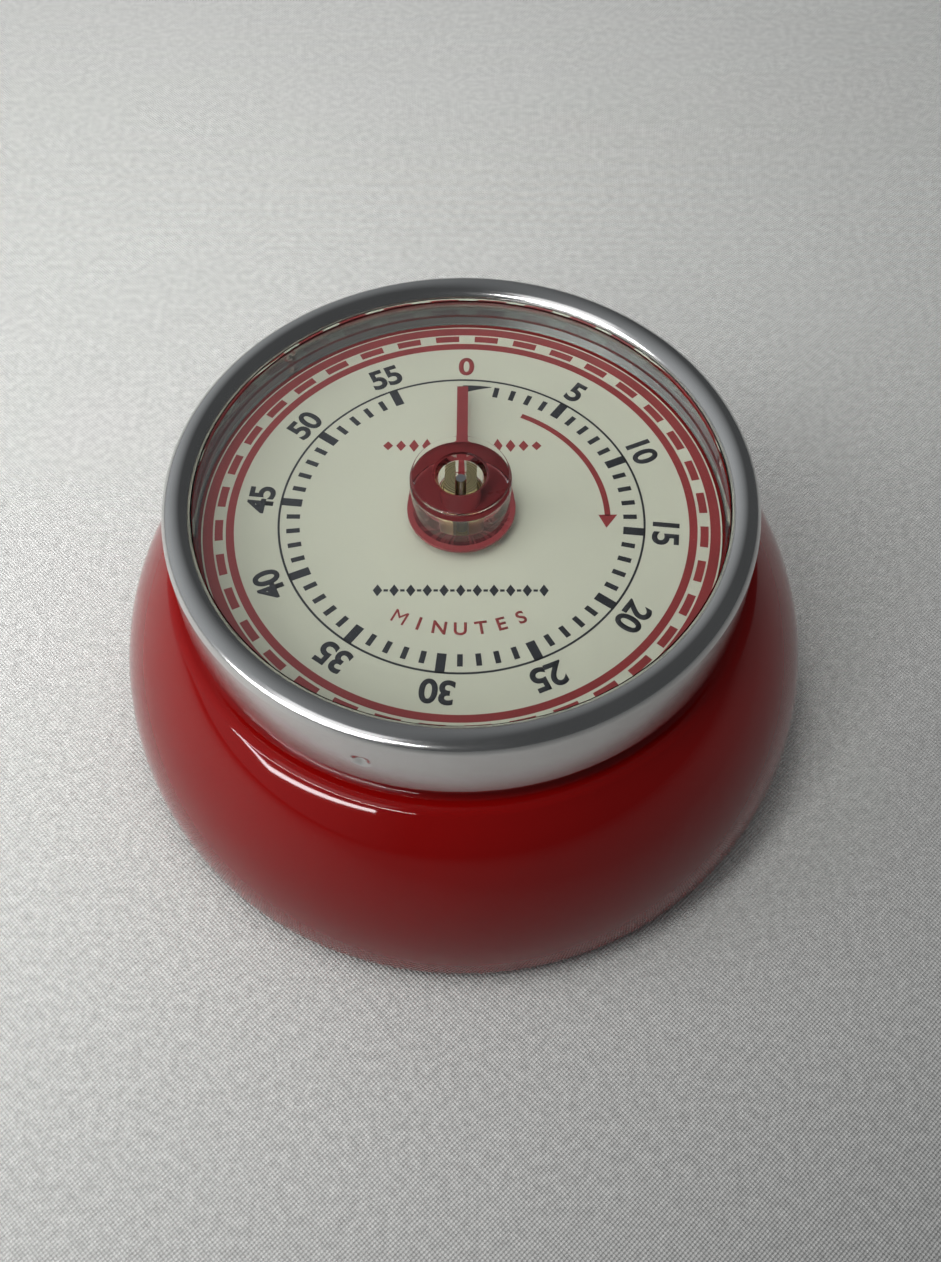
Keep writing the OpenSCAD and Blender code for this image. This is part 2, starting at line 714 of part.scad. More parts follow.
module spring_post() {
    color("silver") bar(spring_post_d, rear_z, seat_z, polar(spring_post_r, spring_post_dir));
}

// ---- wheel train ----

module second_wheel() {
    color("gold") translate([second_c[0], second_c[1], second_z])
        train_wheel(second_teeth, second_m, wheel_t, second_seat_r, 4, third_dir);
}

module second_arbor() {
    color("silver") train_arbor(second_c, great_m, second_z + wheel_t + 0.1, great_z + great_t + 0.3,
        second_z, second_seat_r, second_dir);
}

module third_wheel() {
    color("gold") translate([third_c[0], third_c[1], third_z])
        train_wheel(third_teeth, third_m, wheel_t, third_seat_r, 4, escape_dir);
}

module third_arbor() {
    color("silver") train_arbor(third_c, second_m, gear_z0 + 0.15, second_z + wheel_t + 0.15,
        third_z, third_seat_r, third_dir);
}

function escape_points() = [for (i = [0 : escape_teeth - 1]) let (a = 360 * i / escape_teeth)
    each [polar(escape_r - 1.2, a - 90 / escape_teeth), polar(escape_r, a),
        polar(escape_r - 0.1, a + 3), polar(escape_r - 1.3, a + 60 / escape_teeth)]];

module escape_wheel() {
    color("gold") translate([escape_c[0], escape_c[1], escape_z]) difference() {
        linear_extrude(height = wheel_t) polygon(escape_points());
        translate([0, 0, -overlap]) cylinder(r = escape_seat_r, h = wheel_t + 2 * overlap);
    }
}

module escape_arbor() {
    color("silver") train_arbor(escape_c, third_m, third_z - 0.15, third_z + wheel_t + 0.15,
        escape_z, escape_seat_r, escape_dir);
}

module pallet_lever() {
    color("silver") difference() {
        for (p = pallet_pin_cs) hull() {
            translate([pallet_c[0], pallet_c[1], pallet_z])
                cylinder(d = pallet_seat_d + 1.4, h = pallet_t, $fn = 32);
            translate([p[0], p[1], pallet_z]) cylinder(d = pallet_pin_d + 0.7, h = pallet_t, $fn = 32);
        }
        bar(pallet_seat_d, pallet_z - overlap, pallet_z + pallet_t + overlap, pallet_c);
        for (p = pallet_pin_cs) bar(pallet_pin_d, pallet_z - overlap, pallet_z + pallet_t + overlap, p);
    }
}

module pallet_pins() {
    color("silver") for (p = pallet_pin_cs) bar(pallet_pin_d, escape_z - 0.2, pallet_z + pallet_t, p);
}

module pallet_arbor() {
    color("silver") {
        bar(pivot_d, rear_z + overlap, gear_z0 + end_play, pallet_c);
        bar(pallet_seat_d, gear_z0 + end_play, front_z - end_play, pallet_c);
        bar(pivot_d, front_z - end_play, seat_z - overlap, pallet_c);
    }
}

// A weighted bar that swings with the pallet and sets the beat
module balance_bar() {
    bar_t = 0.6;
    bar_w = 1.6;
    weight_d = 2.8;
    balance_dir = pallet_dir + 90;
    color("gold") difference() {
        translate([pallet_c[0], pallet_c[1], balance_z]) rotate(balance_dir) union() {
            translate([-balance_len / 2, -bar_w / 2, 0]) cube([balance_len, bar_w, bar_t]);
            cylinder(d = pallet_seat_d + 1.4, h = bar_t);
            for (s = [-1, 1]) translate([s * balance_len / 2, 0, 0]) cylinder(d = weight_d, h = bar_t);
        }
        bar(pallet_seat_d, balance_z - overlap, balance_z + bar_t + overlap, pallet_c);
    }
}

// ---- bell and hammer ----

module bell() {
    arc_c = [bell_arc_x, bell_z + bell_arc_r];
    color("lightsteelblue") difference() {
        rotate_extrude() polygon(concat(
            [[0, bell_z]],
            arc(arc_c, bell_arc_r, -90, bell_end_a, 2 * BEND_STEPS),
            arc(arc_c, bell_arc_r - bell_t, bell_end_a, -90, 2 * BEND_STEPS),
            [[0, bell_z + bell_t]]));
        bar(bell_screw_d, bell_z - overlap, bell_z + bell_t + overlap);
    }
}

module bell_post() {
    thread_len = 3;
    pivot_room_d = shaft_pivot_d + 1;
    color("silver") difference() {
        bar(bell_post_d, bell_z + bell_t, rear_z);
        bar(bell_screw_d, bell_z, bell_z + bell_t + thread_len);
        bar(pivot_room_d, rear_z - 0.8, rear_z + overlap);
    }
}

module bell_screw() {
    head_h = 0.9;
    head_d = 5;
    color("silver") difference() {
        union() {
            bar(head_d, bell_z - head_h, bell_z);
            bar(bell_screw_d, bell_z - overlap, bell_z + bell_t + 2.8);
        }
        translate([-head_d, -0.35, bell_z - head_h - overlap]) cube([2 * head_d, 0.7, 0.45]);
    }
}

module hammer_arbor() {
    color("silver") bar(hammer_arbor_d, hammer_arm_z - 0.2, seat_z, hammer_c);
}

// A flat arm from the arbor to another point
module flat_arm(end, w0, w1, z, t) {
    difference() {
        hull() {
            translate([hammer_c[0], hammer_c[1], z]) cylinder(d = w0, h = t, $fn = 32);
            translate([end[0], end[1], z]) cylinder(d = w1, h = t, $fn = 32);
        }
        bar(hammer_arbor_d, z - overlap, z + t + overlap, hammer_c);
    }
}

module hammer_arm() {
    color("silver") difference() {
        flat_arm(hammer_tip, hammer_arbor_d + 1.6, hammer_pin_d + 1, hammer_arm_z, hammer_arm_t);
        bar(hammer_pin_d, hammer_arm_z - overlap, hammer_arm_z + hammer_arm_t + overlap, hammer_tip);
    }
}

module hammer_head() {
    head_h = 2;
    color("silver") {
        bar(hammer_d, hammer_arm_z - head_h, hammer_arm_z, hammer_tip);
        bar(hammer_pin_d, hammer_arm_z - overlap, hammer_arm_z + hammer_arm_t, hammer_tip);
    }
}

module hammer_tail() {
    color("silver") flat_arm(hammer_c + polar(tail_len - 0.6, hammer_dir + 180),
        hammer_arbor_d + 1.4, 1.2, tail_z, tail_t);
}

// A torsion spring of round wire around the hammer's arbor
module hammer_spring() {
    wire_d = 0.35;
    coil_r = hammer_arbor_d / 2 + wire_d / 2 + 0.15;
    turns = 3;
    per_turn = 14;
    sides = 8;
    pitch = wire_d + 0.15;
    steps = turns * per_turn;
    ring_points = [for (i = [0 : steps], s = [0 : sides - 1]) let (
        a = 360 * i / per_turn, b = 360 * s / sides, r = coil_r + wire_d / 2 * cos(b))
        [r * cos(a), r * sin(a), pitch * i / per_turn + wire_d / 2 * sin(b)]];
    side_faces = [for (i = [0 : steps - 1], s = [0 : sides - 1]) let (n = (s + 1) % sides)
        [i * sides + s, i * sides + n, (i + 1) * sides + n, (i + 1) * sides + s]];
    ends = [[for (s = [sides - 1 : -1 : 0]) s], [for (s = [0 : sides - 1]) steps * sides + s]];
    color("silver") translate([hammer_c[0], hammer_c[1], hammer_spring_z])
        polyhedron(ring_points, concat(side_faces, ends), convexity = 6);
}

// ---- back ----

// A moulded disc with a pocket for the magnet, screw bosses and sound slots
module rear_cover() {
    slot_size = 2;
    pocket_r = cup_r + fit_gap;
    head_room_d = 4;
    color("dimgray") difference() {
        union() {
            bar(2 * cover_r, cover_z, cover_z + cover_t);
            bar(2 * (pocket_r + pocket_t), cover_z, cup_h + pocket_t);
            at_dirs(boss_dirs, boss_r) bar(boss_d, cover_z, bracket_z);
        }
        bar(2 * pocket_r, -overlap, cup_h);
        bar(rivet_d, cup_h - overlap, cup_h + pocket_t + overlap);
        at_dirs(boss_dirs, boss_r) {
            bar(cover_screw_d + 4 * run_clear, cover_z - overlap, bracket_z + overlap);
            bar(head_room_d, cover_z - overlap, cover_z + 1.2);
        }
        for (i = [0 : sound_slots - 1]) rotate(360 / sound_slots * (i + 0.5))
            translate([slot_in_r, -slot_size / 2, cover_z - overlap])
                cube([slot_out_r - slot_in_r, slot_size, cover_t + 2 * overlap]);
    }
}

module cover_screws() {
    head_d = 3.7;
    head_h = 1.1;
    head_z = cover_z + 1.2 - head_h;
    color("silver") at_dirs(boss_dirs, boss_r) difference() {
        union() {
            bar(head_d, head_z, head_z + head_h);
            bar(cover_screw_d, head_z + head_h - overlap, bracket_z + bracket_t);
        }
        translate([-head_d, -0.3, head_z - overlap]) cube([2 * head_d, 0.6, 0.5]);
        translate([-0.3, -head_d, head_z - overlap]) cube([0.6, 2 * head_d, 0.5]);
    }
}

module magnet_cup() {
    color("silver") difference() {
        bar(cup_d, 0, cup_h);
        bar(cup_d - 2 * cup_t, -overlap, magnet_h);
        bar(rivet_d, magnet_h - overlap, cup_h + overlap);
    }
}

module magnet() {
    color("dimgray") sleeve(2 * magnet_r, magnet_bore_d, 0, magnet_h);
}

module magnet_rivet() {
    head_d = rivet_d + 2.4;
    head_h = 0.8;
    color("silver") {
        bar(head_d, magnet_h - head_h, magnet_h);
        bar(rivet_d, magnet_h - overlap, cup_h + pocket_t + overlap);
        bar(head_d, cup_h + pocket_t, cup_h + pocket_t + rivet_head_h);
    }
}

case_shell();
case_brackets();
dial_plate();
dial_feet();
front_plate();
rear_plate();
pillars();
pillar_nuts();
case_screws();
spring_post();
bell_post();
bell();
bell_screw();
rear_cover();
cover_screws();
magnet_cup();
magnet();
magnet_rivet();
bezel_ring();
lens();
pointer();
main_shaft();
wedge_pin();
release_cam();
great_wheel();
friction_washer();
ratchet_wheel();
click_post();
click();
click_spring();
mainspring();
second_wheel();
second_arbor();
third_wheel();
third_arbor();
escape_wheel();
escape_arbor();
pallet_lever();
pallet_pins();
pallet_arbor();
balance_bar();
hammer_arbor();
hammer_arm();
hammer_head();
hammer_tail();
hammer_spring();
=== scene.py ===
"""Looks of the wind-up kitchen timer: case, chrome ring, clear lens, printed dial, movement."""
import json
import math

import bmesh
import bpy
from mathutils import Matrix, Vector


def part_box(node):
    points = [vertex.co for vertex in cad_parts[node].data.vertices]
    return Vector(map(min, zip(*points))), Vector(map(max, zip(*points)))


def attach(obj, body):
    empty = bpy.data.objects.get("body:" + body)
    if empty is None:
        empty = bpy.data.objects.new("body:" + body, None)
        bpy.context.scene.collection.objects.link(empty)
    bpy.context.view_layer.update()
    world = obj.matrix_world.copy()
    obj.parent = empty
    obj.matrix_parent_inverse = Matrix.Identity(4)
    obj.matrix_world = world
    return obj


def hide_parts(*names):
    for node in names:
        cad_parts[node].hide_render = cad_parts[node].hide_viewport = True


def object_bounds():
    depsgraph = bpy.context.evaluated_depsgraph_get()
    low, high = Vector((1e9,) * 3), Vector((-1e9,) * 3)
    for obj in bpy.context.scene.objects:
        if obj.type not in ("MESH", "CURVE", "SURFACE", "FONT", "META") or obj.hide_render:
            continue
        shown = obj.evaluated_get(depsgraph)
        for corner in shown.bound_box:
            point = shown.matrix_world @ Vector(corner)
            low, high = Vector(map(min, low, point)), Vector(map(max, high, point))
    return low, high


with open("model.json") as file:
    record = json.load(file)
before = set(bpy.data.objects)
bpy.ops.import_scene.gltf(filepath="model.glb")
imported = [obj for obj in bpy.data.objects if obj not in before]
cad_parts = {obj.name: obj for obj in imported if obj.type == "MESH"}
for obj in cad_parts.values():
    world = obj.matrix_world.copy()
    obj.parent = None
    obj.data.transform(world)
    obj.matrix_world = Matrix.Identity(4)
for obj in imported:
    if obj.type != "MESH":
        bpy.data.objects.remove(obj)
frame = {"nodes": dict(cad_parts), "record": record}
cad_lo, cad_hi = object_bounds()
MM = 0.001

# ---- sizes, from the frame ----

case_lo, case_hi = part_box("case_shell")
ring_lo, ring_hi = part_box("bezel_ring")
lens_lo, lens_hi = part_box("lens")
dial_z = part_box("dial_plate")[1].z
pointer_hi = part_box("pointer")[1]

# the case's pressed sheet
SHEET_T = 0.8 * MM          # its thickness
BELLY_Z = 5 * MM            # height of its widest line
LEDGE_W = 1.65 * MM         # flat ledge round the neck
NECK_H = 3.9 * MM           # neck above the ledge
SEAT_W = 5.3 * MM           # seat of the dial, inwards from the neck
RIM_LIP_W = 1.4 * MM        # lip turned in at the lower rim

# the ring
RING_T = 0.6 * MM           # its thickness
RING_CLEAR = 0.25 * MM      # gap between the ring and the neck
BEAD_W = 2.7 * MM           # rounded bead at the top
LIP_DROP = 0.2 * MM         # inner lip below the bead's centre
DIMPLE_H = 3.5 * MM         # dimples above the lower edge
DIMPLE_R = 0.75 * MM
DIMPLE_DEPTH = 0.3 * MM
DIMPLE_DIRS = [-107.5 + 120 * k for k in range(3)]

# the lens and its hub
LENS_T = 1.2 * MM           # crowned face
LENS_WALL_T = 2.05 * MM     # side wall
LENS_GAP = 0.05 * MM        # gap between the face and the ring's lip
STEP_GAP = 0.15 * MM        # gap between the step and the ring's lip
CROWN_RISE = 2.1 * MM       # height of the crown over the whole face
HUB_RISE = 0.3 * MM         # hub above the top of the crown
HUB_BORE_R = 2.07 * MM      # bore round the shaft's flats
HUB_SEAT_R = 1.97 * MM      # bore round the whole shaft
FLAT_H = 1.8 * MM           # flats at the shaft's end
SHAFT_SINK = 0.5 * MM       # shaft's end below the top of the hub
COUNTERSINK = 0.4 * MM      # widening of the bore's mouth
COUNTERSINK_H = 0.6 * MM
POINTER_RIM = 0.5 * MM      # pointer's disc outside the hub

body_r = case_hi.x
body_h = case_hi.z
rim_z = case_lo.z
ring_r = ring_hi.x
neck_r = ring_r - RING_T - RING_CLEAR
ledge_z = body_h - NECK_H
bead_r = BEAD_W / 2
bead_z = ring_hi.z - bead_r


# ---- mesh helpers ----

ON_AXIS = 1e-7


def polar(r, a):
    """Point at radius r and a degrees from +X, counter-clockwise."""
    return r * math.cos(math.radians(a)), r * math.sin(math.radians(a))


def arc(c, r, a0, a1, n):
    """n + 1 points on an arc round c, from angle a0 to a1."""
    points = [polar(r, a0 + (a1 - a0) * i / n) for i in range(n + 1)]
    return [(c[0] + x, c[1] + y) for x, y in points]


def line(p, q, n):
    """n + 1 points from p to q."""
    return [(p[0] + (q[0] - p[0]) * i / n, p[1] + (q[1] - p[1]) * i / n) for i in range(n + 1)]


def link(name, mesh):
    obj = bpy.data.objects.new(name, mesh)
    bpy.context.scene.collection.objects.link(obj)
    return obj


def solid(name, bm):
    """An object made of a bmesh, with its normals facing out."""
    bmesh.ops.recalc_face_normals(bm, faces=bm.faces)
    mesh = bpy.data.meshes.new(name)
    bm.to_mesh(mesh)
    bm.free()
    return link(name, mesh)


def lathe(name, profile, segments, angle, shape=None):
    """Turns a closed profile of (radius, height) points about Z.

    Edges sharper than angle stay crisp. shape may move each (x, y, z).
    """
    bm = bmesh.new()
    rings = []
    for r, z in profile:
        if r < ON_AXIS:
            rings.append([bm.verts.new((0, 0, z))])
            continue
        ring = []
        for i in range(segments):
            point = (*polar(r, 360 * i / segments), z)
            ring.append(bm.verts.new(shape(*point) if shape else point))
        rings.append(ring)
    for one, two in zip(rings, rings[1:] + rings[:1]):
        if len(one) == 1 and len(two) == 1:
            continue
        for i in range(segments):
            j = (i + 1) % segments
            corners = [one[i % len(one)], one[j % len(one)], two[j % len(two)], two[i % len(two)]]
            bm.faces.new(list(dict.fromkeys(corners)))
    obj = solid(name, bm)
    obj.data.shade_smooth()
    obj.data.set_sharp_from_angle(angle=math.radians(angle))
    return obj


def add_prism(bm, points, z0, z1):
    """A flat prism from an outline of (x, y) points."""
    low = [bm.verts.new((x, y, z0)) for x, y in points]
    high = [bm.verts.new((x, y, z1)) for x, y in points]
    bm.faces.new(list(reversed(low)))
    bm.faces.new(high)
    for i in range(len(points)):
        j = (i + 1) % len(points)
        bm.faces.new([low[i], low[j], high[j], high[i]])


SECTOR_STEP = 1.5           # degrees between the points of a printed arc


def clock(r, a):
    """Point on the dial at radius r and a degrees clockwise from zero."""
    return r * math.sin(math.radians(a)), r * math.cos(math.radians(a))


def sector(r0, r1, a0, a1):
    """Outline of a band between two radii and two dial angles."""
    n = max(2, int(abs(a1 - a0) / SECTOR_STEP))
    outer = [clock(r1, a0 + (a1 - a0) * i / n) for i in range(n + 1)]
    inner = [clock(r0, a1 + (a0 - a1) * i / n) for i in range(n + 1)]
    return outer + inner


# ---- materials ----

NOISE_SPAN = (0.3, 0.7)     # where most of a noise texture's values lie


class Nodes:
    """A short way to write a material's node tree."""

    def __init__(self, name):
        self.material = bpy.data.materials.new(name)
        self.material.use_nodes = True
        self.tree = self.material.node_tree
        self.shader = self.tree.nodes["Principled BSDF"]
        self.output = self.tree.nodes["Material Output"]
        self.place = self.new("ShaderNodeTexCoord").outputs["Object"]

    def new(self, kind, **values):
        node = self.tree.nodes.new(kind)
        for key, value in values.items():
            setattr(node, key, value)
        return node

    def join(self, source, target):
        self.tree.links.new(source, target)

    def set(self, **values):
        for key, value in values.items():
            self.shader.inputs[key.replace("_", " ")].default_value = value

    def stretched(self, scale):
        """The object's coordinates, stretched by a factor on each axis."""
        node = self.new("ShaderNodeMapping")
        node.inputs["Scale"].default_value = scale
        self.join(self.place, node.inputs["Vector"])
        return node.outputs["Vector"]

    def noise(self, scale, detail=4, roughness=0.55, stretch=(1, 1, 1)):
        node = self.new("ShaderNodeTexNoise")
        node.inputs["Scale"].default_value = scale
        node.inputs["Detail"].default_value = detail
        node.inputs["Roughness"].default_value = roughness
        self.join(self.stretched(stretch), node.inputs["Vector"])
        return node.outputs["Fac"]

    def ramp(self, source, stops):
        """A colour ramp with stops of (position, colour)."""
        node = self.new("ShaderNodeValToRGB")
        elements = node.color_ramp.elements
        while len(elements) < len(stops):
            elements.new(0.5)
        for element, (position, colour) in zip(elements, stops):
            element.position = position
            element.color = (*colour, 1)
        self.join(source, node.inputs["Fac"])
        return node.outputs["Color"]

    def range(self, source, low, high):
        """A noise value spread over low to high."""
        node = self.new("ShaderNodeMapRange")
        for key, value in (("From Min", NOISE_SPAN[0]), ("From Max", NOISE_SPAN[1]),
                           ("To Min", low), ("To Max", high)):
            node.inputs[key].default_value = value
        self.join(source, node.inputs["Value"])
        return node.outputs["Result"]

    def math(self, operation, one, two=0):
        node = self.new("ShaderNodeMath", operation=operation)
        for socket, value in zip(node.inputs, (one, two)):
            if isinstance(value, (int, float)):
                socket.default_value = value
            else:
                self.join(value, socket)
        return node.outputs["Value"]

    def bump(self, height, strength, distance):
        node = self.new("ShaderNodeBump")
        node.inputs["Strength"].default_value = strength
        node.inputs["Distance"].default_value = distance
        self.join(height, node.inputs["Height"])
        self.join(node.outputs["Normal"], self.shader.inputs["Normal"])

    def colour(self, source):
        self.join(source, self.shader.inputs["Base Color"])

    def roughness(self, source):
        self.join(source, self.shader.inputs["Roughness"])

    def radius(self):
        """Distance from the timer's axis, in metres."""
        split = self.new("ShaderNodeSeparateXYZ")
        self.join(self.place, split.inputs["Vector"])
        squares = [self.math("MULTIPLY", split.outputs[k], split.outputs[k]) for k in "XY"]
        return self.math("SQRT", self.math("ADD", *squares))


def shades(colour, spread):
    """Three shades round a colour, darker to lighter."""
    return [(0.3, tuple(c * (1 - spread) for c in colour)), (0.5, colour),
            (0.72, tuple(min(1, c * (1 + spread)) for c in colour))]


def enamel():
    """Glossy red enamel: a clear coat over a matt colour, with a slight orange peel."""
    m = Nodes("enamel_red")
    red = (0.215, 0.002, 0.0017)
    m.colour(m.ramp(m.noise(60, 5), shades(red, 0.05)))
    m.roughness(m.range(m.noise(260, 6, 0.6), 0.35, 0.45))
    m.set(Coat_Weight=1.0, Coat_Roughness=0.04, Coat_IOR=1.4, Specular_IOR_Level=0.0)
    peel = m.noise(300, 2, 0.4)
    m.bump(peel, 0.06, 0.1 * MM)
    return m.material


def chrome():
    """Handled chrome plate: smeared, with fine lines round the ring."""
    m = Nodes("chrome")
    m.set(Metallic=1.0)
    plate = (0.62, 0.6169, 0.6107)
    m.colour(m.ramp(m.noise(90, 5), shades(plate, 0.05)))
    smear = m.noise(50, 6, 0.65)
    lines = m.noise(900, 3, 0.5, stretch=(1, 1, 14))
    m.roughness(m.math("ADD", m.range(smear, 0.1, 0.2), m.range(lines, 0, 0.05)))
    m.bump(lines, 0.03, 0.03 * MM)
    return m.material


def clear():
    """Clear moulded plastic that lets lamps through to what it covers."""
    m = Nodes("clear_lens")
    m.set(Base_Color=(0.97, 0.985, 0.975, 1), Transmission_Weight=1.0, IOR=1.49)
    m.roughness(m.range(m.noise(140, 6, 0.6), 0.005, 0.03))
    m.bump(m.noise(160, 3), 0.02, 0.04 * MM)
    through = m.new("ShaderNodeBsdfTransparent")
    through.inputs["Color"].default_value = (0.92, 0.93, 0.92, 1)
    path = m.new("ShaderNodeLightPath")
    mix = m.new("ShaderNodeMixShader")
    m.join(path.outputs["Is Shadow Ray"], mix.inputs["Fac"])
    m.join(m.shader.outputs["BSDF"], mix.inputs[1])
    m.join(through.outputs["BSDF"], mix.inputs[2])
    m.join(mix.outputs["Shader"], m.output.inputs["Surface"])
    return m.material


def paint(name, colour, rough, spread, grain):
    """A thin coat of paint or ink with a fine grain."""
    m = Nodes(name)
    m.colour(m.ramp(m.noise(grain / 3, 6, 0.65), shades(colour, spread)))
    m.roughness(m.range(m.noise(grain, 4), rough - 0.06, rough + 0.08))
    m.bump(m.noise(grain * 3, 3), 0.15, 0.02 * MM)
    return m.material


def metal(name, colour, low, high, grain=(1, 1, 12)):
    """Machined or rolled metal with fine lines along the stretched axis."""
    m = Nodes(name)
    m.set(Metallic=1.0)
    m.colour(m.ramp(m.noise(70, 6, 0.6), shades(colour, 0.08)))
    lines = m.noise(700, 4, 0.6, stretch=grain)
    m.roughness(m.range(lines, low, high))
    m.bump(lines, 0.2, 0.03 * MM)
    return m.material


def turned(name, colour, low, high):
    """Metal turned on a lathe: fine rings round the timer's axis."""
    m = Nodes(name)
    m.set(Metallic=1.0)
    rings = m.new("ShaderNodeTexNoise", noise_dimensions="1D")
    rings.inputs["Scale"].default_value = 1
    rings.inputs["Detail"].default_value = 3
    rings_per_metre = 9000
    m.join(m.math("MULTIPLY", m.radius(), rings_per_metre), rings.inputs["W"])
    m.colour(m.ramp(m.noise(220, 5), shades(colour, 0.12)))
    m.roughness(m.range(rings.outputs["Fac"], low, high))
    m.bump(rings.outputs["Fac"], 0.25, 0.02 * MM)
    return m.material


def plastic(name, colour, low, high):
    """Moulded plastic with a fine eroded surface."""
    m = Nodes(name)
    m.colour(m.ramp(m.noise(120, 5), shades(colour, 0.15)))
    m.roughness(m.range(m.noise(500, 5), low, high))
    m.bump(m.noise(1500, 3, 0.6), 0.35, 0.05 * MM)
    return m.material


def ferrite():
    """Dark sintered magnet."""
    m = Nodes("ferrite")
    m.colour(m.ramp(m.noise(900, 6, 0.7), shades((0.045, 0.045, 0.05), 0.4)))
    m.roughness(m.range(m.noise(300, 6), 0.45, 0.75))
    m.bump(m.noise(1200, 5, 0.7), 0.4, 0.06 * MM)
    return m.material


def zinc():
    """Galvanised steel with faint crystals."""
    m = Nodes("zinc")
    m.set(Metallic=1.0)
    cells = m.new("ShaderNodeTexVoronoi")
    cells.inputs["Scale"].default_value = 320
    m.join(m.place, cells.inputs["Vector"])
    m.colour(m.ramp(cells.outputs["Color"], [(0.2, (0.42, 0.43, 0.46)), (0.8, (0.6, 0.61, 0.63))]))
    m.roughness(m.range(m.noise(500, 5), 0.28, 0.45))
    m.bump(m.noise(700, 4), 0.15, 0.04 * MM)
    return m.material


def cloth():
    """The pale woven cover of the table."""
    m = Nodes("pale_cloth")
    split = m.new("ShaderNodeSeparateXYZ")
    m.join(m.place, split.inputs["Vector"])
    pitch = 0.46 * MM
    waves = []
    for axis in "XY":
        drift = m.math("MULTIPLY", m.noise(180, 3), 1.5)
        across = m.math("MULTIPLY", split.outputs[axis], 2 * math.pi / pitch)
        waves.append(m.math("SINE", m.math("ADD", across, drift)))
    weave = m.math("MULTIPLY", waves[0], waves[1])
    threads = m.math("ADD", m.math("MULTIPLY", weave, 0.17), m.noise(1100, 4))
    m.colour(m.ramp(threads, [(0.3, (0.56, 0.56, 0.55)), (0.7, (0.74, 0.74, 0.725))]))
    m.set(Roughness=0.9, Sheen_Weight=0.2)
    folds = m.math("MULTIPLY", m.noise(14, 3, 0.5), 5)
    m.bump(m.math("ADD", weave, folds), 0.6, 0.2 * MM)
    return m.material


ENAMEL = enamel()
CHROME = chrome()
CLEAR = clear()
DIAL = paint("dial_cream", (0.66, 0.66, 0.545), 0.42, 0.02, 400)
INK_RED = paint("ink_red", (0.27, 0.034, 0.036), 0.4, 0.1, 900)
INK_DARK = paint("ink_dark", (0.02, 0.021, 0.026), 0.4, 0.2, 900)
POINTER = paint("pointer_red", (0.235, 0.032, 0.036), 0.32, 0.06, 600)
BRASS = metal("brass", (0.62, 0.5, 0.26), 0.25, 0.42)
BRASS_TURNED = turned("brass_turned", (0.66, 0.56, 0.31), 0.22, 0.4)
STEEL = metal("steel", (0.5, 0.5, 0.51), 0.26, 0.42)
BLUED = metal("spring_steel", (0.16, 0.2, 0.3), 0.2, 0.34, (1, 1, 8))
NICKEL = turned("bell_nickel", (0.62, 0.6, 0.56), 0.14, 0.26)
ZINC = zinc()
BLACK = plastic("cover_black", (0.016, 0.016, 0.018), 0.38, 0.55)
FERRITE = ferrite()


def finish_with(obj, material):
    """Gives a piece its material."""
    obj.data.materials.clear()
    obj.data.materials.append(material)
    return obj


# ---- case ----

def case_face(depth):
    """One face of the case's sheet from the rim to the dial seat, as the sheet is bent."""
    shoulder_r = neck_r + LEDGE_W
    inward, upward = body_r - shoulder_r, ledge_z - BELLY_Z
    dome_r = (inward ** 2 + upward ** 2) / (2 * inward)
    c = (body_r - dome_r, BELLY_Z)
    bend_r = 1.5 * SHEET_T
    bend_z = ledge_z - bend_r
    bend_a = math.degrees(math.asin((bend_z - BELLY_Z) / (dome_r - bend_r)))
    rim_r = 2 * SHEET_T
    rim_a = -math.degrees(math.asin((BELLY_Z - rim_z - rim_r) / (dome_r - rim_r)))
    rim_x = c[0] + polar(dome_r - rim_r, rim_a)[0]
    corner_r = 1.25 * SHEET_T
    seat_in_r = neck_r - SEAT_W
    bend_x = c[0] + polar(dome_r - bend_r, bend_a)[0]
    return (line((rim_x - RIM_LIP_W, rim_z + depth), (rim_x, rim_z + depth), 3)[:-1]
            + arc((rim_x, rim_z + rim_r), rim_r - depth, -90, rim_a, 14)
            + arc(c, dome_r - depth, rim_a, bend_a, 72)[1:]
            + arc((bend_x, bend_z), bend_r - depth, bend_a, 90, 14)[1:]
            + arc((neck_r + SHEET_T, ledge_z + SHEET_T), SHEET_T + depth, 270, 180, 14)
            + arc((neck_r - corner_r, body_h - corner_r), corner_r - depth, 0, 90, 10)
            + line((neck_r - corner_r, body_h - depth), (seat_in_r, body_h - depth), 4)[1:])


def build_case():
    case = lathe("enamelled_case", case_face(0) + case_face(SHEET_T)[::-1], 320, angle=60)
    finish_with(case, ENAMEL)
    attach(case, "case")
    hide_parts("case_shell")


# ---- ring and lens ----

def dimpled(x, y, z):
    """Pushes the ring's sheet in at its punched dimples."""
    up = z - ring_lo.z - DIMPLE_H
    r = math.hypot(x, y)
    if abs(up) > DIMPLE_R or r < ring_r - 1.5 * RING_T:
        return x, y, z
    around = math.degrees(math.atan2(y, x))
    off = min(abs((around - d + 180) % 360 - 180) for d in DIMPLE_DIRS)
    far = math.hypot(math.radians(off) * r, up) / DIMPLE_R
    if far >= 1:
        return x, y, z
    push = DIMPLE_DEPTH * (1 - far * far) ** 1.5
    return x * (1 - push / r), y * (1 - push / r), z


